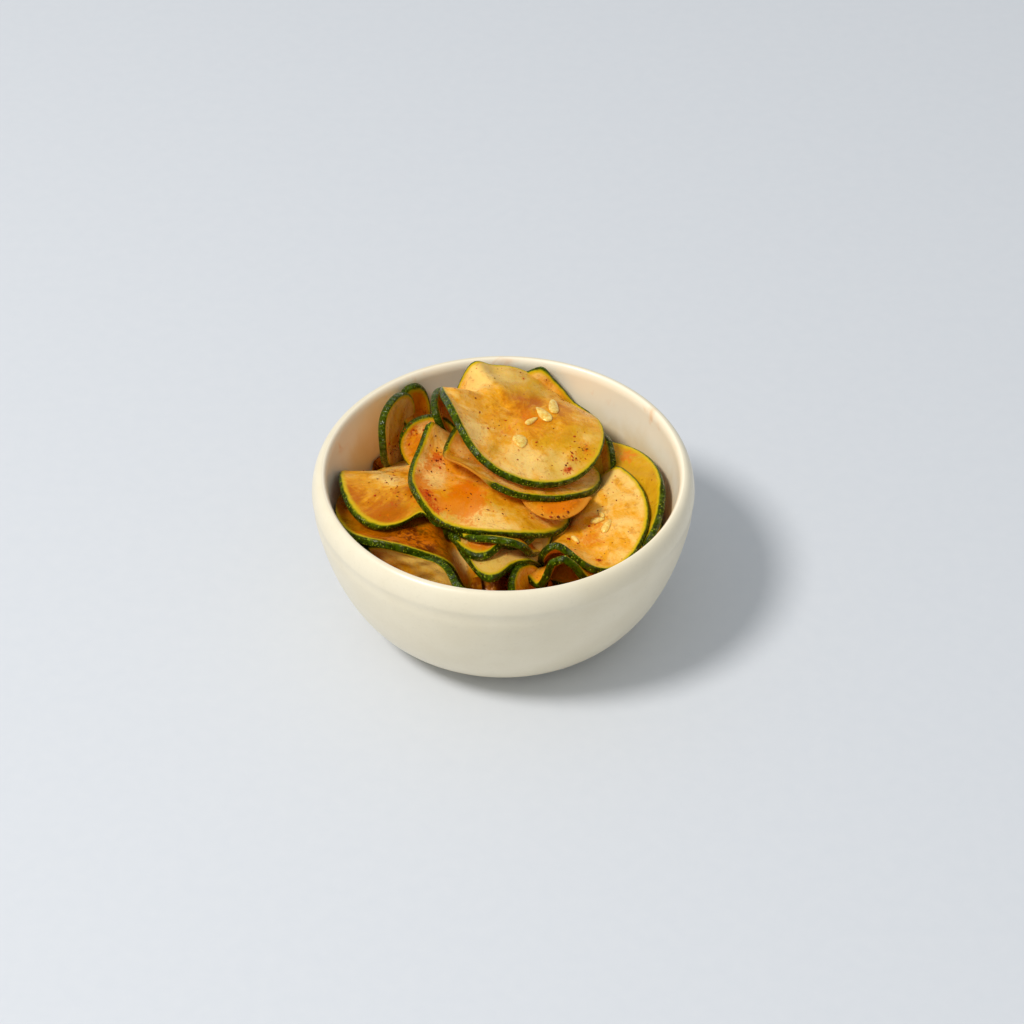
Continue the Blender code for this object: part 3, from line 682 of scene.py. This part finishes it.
def marinade_piece(laid, material):
    """What fills the bowl between and under the slices: its top stays below every slice over it."""
    share = np.linspace(0.02, 1, MARINADE_RINGS)[:, None]
    turn = np.radians(np.arange(MARINADE_TURNS) * 360 / MARINADE_TURNS)
    reach = inner_radius(MARINADE_LEVEL) - MARINADE_GAP
    x, y = reach * share * np.cos(turn), reach * share * np.sin(turn)
    spots = np.stack([x.ravel(), y.ravel()], -1)
    height = np.full(len(spots), MARINADE_LEVEL)
    for points in laid.values():
        across = spots[:, None, :] - points[None, :, :2]
        near = np.hypot(across[..., 0], across[..., 1]) < MARINADE_PROBE
        over = np.where(near, points[None, :, 2], np.inf).min(1)
        height = np.minimum(height, over - MARINADE_SINK)
    height = np.maximum(height, MARINADE_LEAST).reshape(x.shape)
    top = np.stack([x, y, height], -1)
    under = np.stack([x, y, np.full_like(x, MARINADE_UNDER)], -1)[::-1]
    points = inside_bowl(np.concatenate([top, under]), MARINADE_GAP)
    piece = closed_surface("marinade", points)
    dress(piece, material, "zucchini", "zucchini_heap")


# ---------------------------------------------------------------- materials


def srgb(red, green, blue):
    """A colour as a screen shows it, 0 to 255, in the linear values that a shader takes."""
    values = np.array([red, green, blue]) / 255
    linear = np.where(values <= 0.04045, values / 12.92, ((values + 0.055) / 1.055) ** 2.4)
    return (*(float(v) for v in linear), 1.0)


FLESH_PALE = srgb(252, 206, 116)
FLESH_GOLD = srgb(240, 164, 22)
FLESH_DEEP = srgb(192, 102, 0)
# painted shade with oil: the shadowed brown of flesh under arches and under other slices
FLESH_OILY_PAINTED_SHADE = srgb(106, 40, 0)
FLESH_OLIVE = srgb(204, 160, 20)
FLESH_OILY = srgb(226, 118, 0)
FLESH_BARE = srgb(214, 136, 34)  # at a rim without skin
FLESH_GLOSS = srgb(255, 190, 84)
FIBRE_PALE = srgb(255, 210, 110)
FIBRE_DEEP = srgb(180, 96, 0)
CHILLI_STAIN = srgb(206, 64, 2)
SPECK_RED = srgb(196, 50, 0)
SPECK_BROWN = srgb(140, 46, 0)
BAND_YELLOW = srgb(216, 178, 20)
BAND_GREEN = srgb(132, 138, 2)
SKIN_DARK = srgb(30, 44, 0)
SKIN_GREEN = srgb(62, 84, 0)
SKIN_FLECK = srgb(168, 184, 40)
SKIN_GLOSS = srgb(204, 216, 60)
GLAZE_SHADED = srgb(235, 223, 194)
GLAZE_CREAM = srgb(240, 229, 202)
GLAZE_GRAIN = srgb(200, 190, 165)
# painted light: the inside of the wall, brighter and warmer, for the light and bounce from the food
# that fall there
GLAZE_INSIDE_PAINTED_LIGHT = srgb(254, 242, 216)
GLAZE_OILY = srgb(228, 190, 110)
GLAZE_STAIN = srgb(238, 176, 110)
MARINADE_DARK = srgb(140, 66, 2)
MARINADE_PULP = srgb(210, 130, 14)
MARINADE_GLOSS = srgb(255, 170, 60)
SEED_PALE = srgb(255, 218, 124)
SEED_DEEP = srgb(234, 178, 70)
SEED_GLOSS = srgb(255, 200, 110)
FLAKE_RED = srgb(196, 52, 0)
FLAKE_DARK = srgb(112, 36, 0)
BOARD_GREY = srgb(212, 216, 222)
BOARD_PALE = srgb(217, 220, 225)

RAY_SPREAD = 9.0  # round a slice, how far the place of its rays goes
SKIN_SPREAD = 25.0  # and that of its skin, about once in millimetres
OIL_HEIGHT = (0.041, 0.030)  # on the inner wall, where oil begins and where it is thick, in metres
STAIN_RADIUS = (0.0532, 0.0512)  # the lip's inner side, where oil stains it
STAIN_HEIGHT = (0.040, 0.044)


class Finish:
    """A material whose nodes are added and linked by short calls."""

    def __init__(self, name, roughness):
        self.material = bpy.data.materials.new(name)
        self.material.use_nodes = True
        self.tree = self.material.node_tree
        self.shader = self.tree.nodes["Principled BSDF"]
        self.shader.inputs["Roughness"].default_value = roughness

    def feed(self, socket, value):
        """Links the socket where the value is another socket, and sets it where it is a number."""
        if isinstance(value, bpy.types.NodeSocket):
            self.tree.links.new(value, socket)
        else:
            socket.default_value = value

    def node(self, kind, **settings):
        node = self.tree.nodes.new(kind)
        for key, value in settings.items():
            setattr(node, key, value)
        return node

    def place(self):
        """The place on the object, in metres."""
        return self.node("ShaderNodeTexCoord").outputs["Object"]

    def kept(self, name):
        """The vector kept for each vertex under this name."""
        return self.node("ShaderNodeAttribute", attribute_name=name).outputs["Vector"]

    def split(self, vector):
        node = self.node("ShaderNodeSeparateXYZ")
        self.feed(node.inputs[0], vector)
        return node.outputs

    def join(self, x, y, z):
        node = self.node("ShaderNodeCombineXYZ")
        for socket, value in zip(node.inputs, (x, y, z)):
            self.feed(socket, value)
        return node.outputs[0]

    def math(self, operation, *values):
        node = self.node("ShaderNodeMath", operation=operation)
        for socket, value in zip(node.inputs, values):
            self.feed(socket, value)
        return node.outputs[0]

    def times(self, first, second):
        return self.math("MULTIPLY", first, second)

    def plus(self, first, second):
        return self.math("ADD", first, second)

    def times_plus(self, value, factor, added):
        return self.math("MULTIPLY_ADD", value, factor, added)

    def rest(self, share):
        """1 less the share."""
        return self.math("SUBTRACT", 1.0, share)

    def swayed(self, value, noise, by):
        """The value, with a noise about 0.5 moving it up and down: value + (noise - 0.5) * by."""
        return self.times_plus(self.math("SUBTRACT", noise, 0.5), by, value)

    def scaled(self, vector, factors):
        node = self.node("ShaderNodeVectorMath", operation="MULTIPLY")
        self.feed(node.inputs[0], vector)
        node.inputs[1].default_value = factors
        return node.outputs[0]

    def between(self, value, low, high):
        """0 where the value is at low, 1 where it is at high, with a smooth change."""
        node = self.node("ShaderNodeMapRange", interpolation_type="SMOOTHSTEP")
        self.feed(node.inputs["Value"], value)
        node.inputs["From Min"].default_value = low
        node.inputs["From Max"].default_value = high
        return node.outputs["Result"]

    def noise(self, vector, scale, detail=3.0, roughness=0.5, distortion=0.0):
        node = self.node("ShaderNodeTexNoise")
        self.feed(node.inputs["Vector"], vector)
        for key, value in (("Scale", scale), ("Detail", detail), ("Roughness", roughness),
                           ("Distortion", distortion)):
            node.inputs[key].default_value = value
        return node.outputs["Fac"]

    def cells(self, vector, scale):
        """Round cells: how far the cell's middle is, and two random values for each cell."""
        node = self.node("ShaderNodeTexVoronoi")
        self.feed(node.inputs["Vector"], vector)
        node.inputs["Scale"].default_value = scale
        first, second, _ = self.split(node.outputs["Color"])
        return node.outputs["Distance"], first, second

    def tinted(self, color, other, share, most=None):
        """The colour, turned into the other where the share is 1, or so much toward it at most."""
        node = self.node("ShaderNodeMix", data_type="RGBA")
        share = share if most is None else self.times(share, most)
        for key, value in ((0, share), (6, color), (7, other)):
            self.feed(node.inputs[key], value)
        return node.outputs[2]

    def graded(self, share, first, second):
        """The first number where the share is 0, the second where it is 1."""
        return self.times_plus(share, second - first, first)

    def bump(self, height, distance, strength):
        node = self.node("ShaderNodeBump")
        self.feed(node.inputs["Height"], height)
        node.inputs["Distance"].default_value = distance
        node.inputs["Strength"].default_value = strength
        for name in ("Normal", "Coat Normal"):
            self.feed(self.shader.inputs[name], node.outputs[0])

    def give(self, **inputs):
        """Feeds the shader's inputs, with their spaces written as underscores."""
        for key, value in inputs.items():
            self.feed(self.shader.inputs[key.replace("_", " ")], value)


def zucchini_finish():
    """Cut flesh, pale to oily orange, with a yellow-green band and a dark green skin at the rim."""
    look = Finish("marinated_zucchini", roughness=0.3)
    flat = look.kept("flat")  # millimetres on the flat slice
    depth, skin, face = look.split(look.kept("rim"))
    oil, chilli, tone = look.split(look.kept("look"))
    turn_x, turn_y, bare = look.split(look.kept("turn"))
    olive, share, layer = look.split(look.kept("tint"))

    # flesh: broad cloudiness, streaks that run out from the middle, fine pulp, fibres, soaked oil
    cloud = look.noise(flat, scale=0.13, detail=4.0, roughness=0.6, distortion=0.8)
    ray_place = look.join(look.times(turn_x, RAY_SPREAD), look.times(turn_y, RAY_SPREAD),
                          look.times_plus(share, 1.6, look.plus(layer, face)))
    rays = look.noise(ray_place, scale=1.0, detail=4.0, roughness=0.6, distortion=0.4)
    pulp = look.noise(flat, scale=1.1, detail=4.0, roughness=0.65, distortion=1.2)
    veins = look.noise(flat, scale=0.5, detail=4.0, roughness=0.62, distortion=1.0)
    grade = look.swayed(tone, cloud, 1.5)
    grade = look.swayed(grade, rays, 0.6)
    grade = look.swayed(grade, pulp, 0.35)
    flesh = look.tinted(FLESH_PALE, FLESH_GOLD, look.between(grade, 0.05, 0.55))
    flesh = look.tinted(flesh, FLESH_DEEP, look.between(grade, 0.45, 1.1))
    pale = look.times(look.between(veins, 0.5, 0.64), look.between(grade, 1.0, 0.4))
    flesh = look.tinted(flesh, FIBRE_PALE, pale, most=0.35)
    flesh = look.tinted(flesh, FIBRE_DEEP, look.between(veins, 0.45, 0.34), most=0.4)
    greenish = look.between(look.noise(flat, scale=0.06, detail=2.0), 0.5, 0.68)
    greenish = look.math("MAXIMUM", look.times(greenish, 0.5), olive)
    flesh = look.tinted(flesh, FLESH_OLIVE, greenish)
    # painted shade: past a grade of 1.1 the flesh goes to a shadowed, oily brown
    flesh = look.tinted(flesh, FLESH_OILY_PAINTED_SHADE, look.between(grade, 1.1, 2.0))
    soaked = look.swayed(oil, veins, 2.0)
    flesh = look.tinted(flesh, FLESH_OILY, look.between(soaked, 0.2, 0.75), most=0.8)

    # chilli: red stains where there is much of it, and fine specks, some of them brown
    blot = look.noise(flat, scale=1.1, detail=4.0, roughness=0.65, distortion=0.8)
    red = look.between(look.times_plus(blot, 2.4, chilli), 1.65, 2.05)
    flesh = look.tinted(flesh, CHILLI_STAIN, red, most=0.75)
    dot_distance, dot_chance, dot_hue = look.cells(look.scaled(flat, (1.0, 1.0, 0.2)), scale=0.8)
    rarity = look.math("SUBTRACT", 0.8, look.times(chilli, 0.5))
    chosen = look.math("GREATER_THAN", dot_chance, rarity)
    speck = look.times(look.between(dot_distance, 0.22, 0.12), chosen)
    speck_color = look.tinted(SPECK_RED, SPECK_BROWN, look.between(dot_hue, 0.55, 0.6))
    flesh = look.tinted(flesh, speck_color, speck, most=0.85)

    # the rim: a yellow-green band, then the skin with its light flecks
    edge = look.times_plus(bare, 4.0, depth)
    edge = look.swayed(edge, look.noise(flat, scale=0.6), 0.7)
    flesh = look.tinted(flesh, BAND_YELLOW, look.between(edge, 2.0, 1.0))
    flesh = look.tinted(flesh, BAND_GREEN, look.between(edge, 1.0, 0.5))
    flesh = look.tinted(flesh, FLESH_BARE, look.times(bare, look.between(depth, 2.5, 0.5)))
    skin_place = look.join(look.times(turn_x, SKIN_SPREAD), look.times(turn_y, SKIN_SPREAD),
                           look.times_plus(face, 0.9, layer))
    fleck_distance, fleck_chance, _ = look.cells(skin_place, scale=1.5)
    fleck = look.times(look.between(fleck_distance, 0.4, 0.15),
                       look.between(fleck_chance, 0.3, 0.6))
    mottle = look.noise(skin_place, scale=0.8, detail=3.0, roughness=0.6)
    green = look.tinted(SKIN_DARK, SKIN_GREEN, look.between(mottle, 0.4, 0.65))
    green = look.tinted(green, SKIN_FLECK, fleck, most=0.8)
    color = look.tinted(flesh, green, look.between(edge, 0.62, 0.4))
    skin = look.times(skin, look.rest(bare))
    color = look.tinted(color, green, skin)

    # relief and gloss: wet flesh, and a broken film of oil on the skin
    surface = look.times_plus(veins, 0.5, look.times(rays, 0.3))
    surface = look.times_plus(pulp, 0.45, surface)
    rough = look.times(look.plus(fleck, mottle), look.times(skin, 0.8))
    surface = look.times_plus(surface, look.graded(skin, 0.55, 0.2), rough)
    look.bump(surface, distance=0.0007, strength=0.8)
    wet = look.noise(flat, scale=0.2, detail=2.0)
    dull = look.between(look.times_plus(oil, 0.25, wet), 0.7, 0.4)
    film = look.noise(skin_place, scale=0.45, detail=3.0, roughness=0.65)
    look.give(Base_Color=color, Roughness=look.times_plus(dull, 0.3, 0.14),
              Subsurface_Weight=0.15, Subsurface_Radius=(0.0016, 0.0007, 0.0002),
              Subsurface_Scale=1.0, Specular_IOR_Level=look.graded(skin, 0.55, 0.3),
              Specular_Tint=look.tinted(FLESH_GLOSS, SKIN_GLOSS, skin),
              Coat_Weight=look.times(skin, look.between(film, 0.5, 0.58)), Coat_Roughness=0.09)
    return look.material


def glaze_finish():
    """Satin cream glaze, with faint mottling, painted light on the wall inside, and orange oil on
    the wall inside and on the lip.
    """
    look = Finish("cream_glaze", roughness=0.3)
    place = look.place()
    x, y, z = look.split(place)
    mottle = look.noise(place, scale=70.0, detail=4.0, roughness=0.6)
    grain = look.noise(place, scale=900.0, detail=2.0)
    glaze = look.tinted(GLAZE_SHADED, GLAZE_CREAM, look.between(mottle, 0.3, 0.7))
    glaze = look.tinted(glaze, GLAZE_GRAIN, look.between(grain, 0.55, 0.8), most=0.12)

    #     the inside of the wall: painted light, brighter and warmer than outside, and oil where it
    #         has run, more of it toward the food
    inside = look.split(look.kept("wall"))[0]
    glaze = look.tinted(glaze, GLAZE_INSIDE_PAINTED_LIGHT, inside)
    streaks = look.noise(look.scaled(place, (1.0, 1.0, 0.6)), scale=60.0, detail=4.0,
                         roughness=0.6, distortion=0.6)
    low = look.between(look.swayed(z, streaks, 0.02), *OIL_HEIGHT)
    glaze = look.tinted(glaze, GLAZE_OILY, look.times(inside, low), most=0.55)

    # stains on the lip
    radius = look.math("SQRT", look.plus(look.times(x, x), look.times(y, y)))
    smear = look.noise(place, scale=95.0, detail=3.0, roughness=0.6, distortion=0.5)
    on_lip = look.times(look.between(radius, *STAIN_RADIUS), look.between(z, *STAIN_HEIGHT))
    stain = look.times(look.between(smear, 0.60, 0.74), on_lip)
    glaze = look.tinted(glaze, GLAZE_STAIN, stain, most=0.45)

    look.bump(look.times_plus(grain, 0.15, mottle), distance=0.0003, strength=0.25)
    look.give(Base_Color=glaze, Roughness=look.times_plus(mottle, 0.16, 0.26),
              Coat_Weight=0.15, Coat_Roughness=0.12, Specular_IOR_Level=0.45)
    return look.material


def marinade_finish():
    """Dark orange, oily liquid thick with pulp."""
    look = Finish("marinade_and_pulp", roughness=0.15)
    pulp = look.noise(look.place(), scale=420.0, detail=4.0, roughness=0.6, distortion=0.6)
    look.bump(pulp, distance=0.001, strength=0.7)
    look.give(Base_Color=look.tinted(MARINADE_DARK, MARINADE_PULP, look.between(pulp, 0.4, 0.7)),
              Coat_Weight=0.3, Coat_Roughness=0.1, Specular_Tint=MARINADE_GLOSS)
    return look.material


def seed_finish():
    """Pale, slightly see-through seeds, mottled a little darker."""
    look = Finish("pale_seed", roughness=0.25)
    husk = look.noise(look.place(), scale=900.0, detail=3.0, roughness=0.6)
    look.bump(husk, distance=0.0003, strength=0.4)
    look.give(Base_Color=look.tinted(SEED_PALE, SEED_DEEP, look.between(husk, 0.35, 0.7)),
              Coat_Weight=0.25, Coat_Roughness=0.1, Specular_Tint=SEED_GLOSS,
              Subsurface_Weight=0.3, Subsurface_Radius=(0.002, 0.0012, 0.0005),
              Subsurface_Scale=1.0)
    return look.material


def flake_finish():
    """Chilli flakes, from brick red to nearly black."""
    look = Finish("chilli_flake", roughness=0.4)
    tone = look.noise(look.place(), scale=300.0, detail=2.0)
    look.give(Base_Color=look.tinted(FLAKE_RED, FLAKE_DARK, look.between(tone, 0.42, 0.6)),
              Specular_IOR_Level=0.2)
    return look.material


def board_finish():
    """Smooth pale blue-grey board."""
    look = Finish("pale_board", roughness=0.6)
    grain = look.noise(look.place(), scale=220.0, detail=3.0)
    look.give(Base_Color=look.tinted(BOARD_GREY, BOARD_PALE, grain))
    return look.material


# ---------------------------------------------------------------- stage


def make_floor():
    mesh = bpy.data.meshes.new("board")
    corners = [(x * BOARD_HALF, y * BOARD_HALF, 0) for x, y in ((-1, -1), (1, -1), (1, 1), (-1, 1))]
    mesh.from_pydata(corners, [], [(0, 1, 2, 3)])
    mesh.materials.append(board_finish())
    floor = bpy.data.objects.new("board", mesh)
    bpy.context.scene.collection.objects.link(floor)


def aim(obj, place, target):
    """Puts a lamp or camera at its place, turned toward its target."""
    obj.location = place
    obj.rotation_euler = (Vector(target) - Vector(place)).to_track_quat("-Z", "Y").to_euler()
    bpy.context.scene.collection.objects.link(obj)


def make_camera():
    lens = bpy.data.cameras.new("camera")
    lens.lens = CAMERA_LENS
    lens.sensor_width = SENSOR_WIDTH
    camera = bpy.data.objects.new("camera", lens)
    aim(camera, CAMERA_PLACE, CAMERA_AIM)
    bpy.context.scene.camera = camera


def make_light():
    """A pale even sky, and one soft round lamp."""
    bpy.context.scene.view_settings.view_transform = "Standard"
    world = bpy.data.worlds.new("studio")
    world.use_nodes = True
    sky = world.node_tree.nodes["Background"]
    sky.inputs["Color"].default_value = SKY_COLOR
    sky.inputs["Strength"].default_value = SKY_STRENGTH
    bpy.context.scene.world = world
    lamp = bpy.data.lights.new("key", "AREA")
    lamp.shape = "DISK"
    lamp.size = KEY_SIZE
    lamp.energy = KEY_POWER
    lamp.color = KEY_COLOR
    turn, rise = math.radians(KEY_AZIMUTH), math.radians(KEY_HEIGHT)
    toward = (math.cos(turn) * math.cos(rise), math.sin(turn) * math.cos(rise), math.sin(rise))
    aim(bpy.data.objects.new("key", lamp), Vector(toward) * KEY_DISTANCE, KEY_AIM)


def make_heap():
    """The slices, each settled under those that lie on it, and what is between and on them."""
    angle, share = (grid.ravel() for grid in np.meshgrid(LAID_ANGLES, LAID_SHARES))
    laid = {}
    flesh = zucchini_finish()
    for number, (name, form) in enumerate(SLICES.items()):
        slice_piece(name, number, laid, flesh)
        laid[name] = settled_points(form, angle, share, laid)
    marinade_piece(laid, marinade_finish())
    seed_pieces(laid, seed_finish())
    flake_pieces(laid, flake_finish())


make_camera()
make_light()
make_floor()
bowl_piece(glaze_finish())
make_heap()
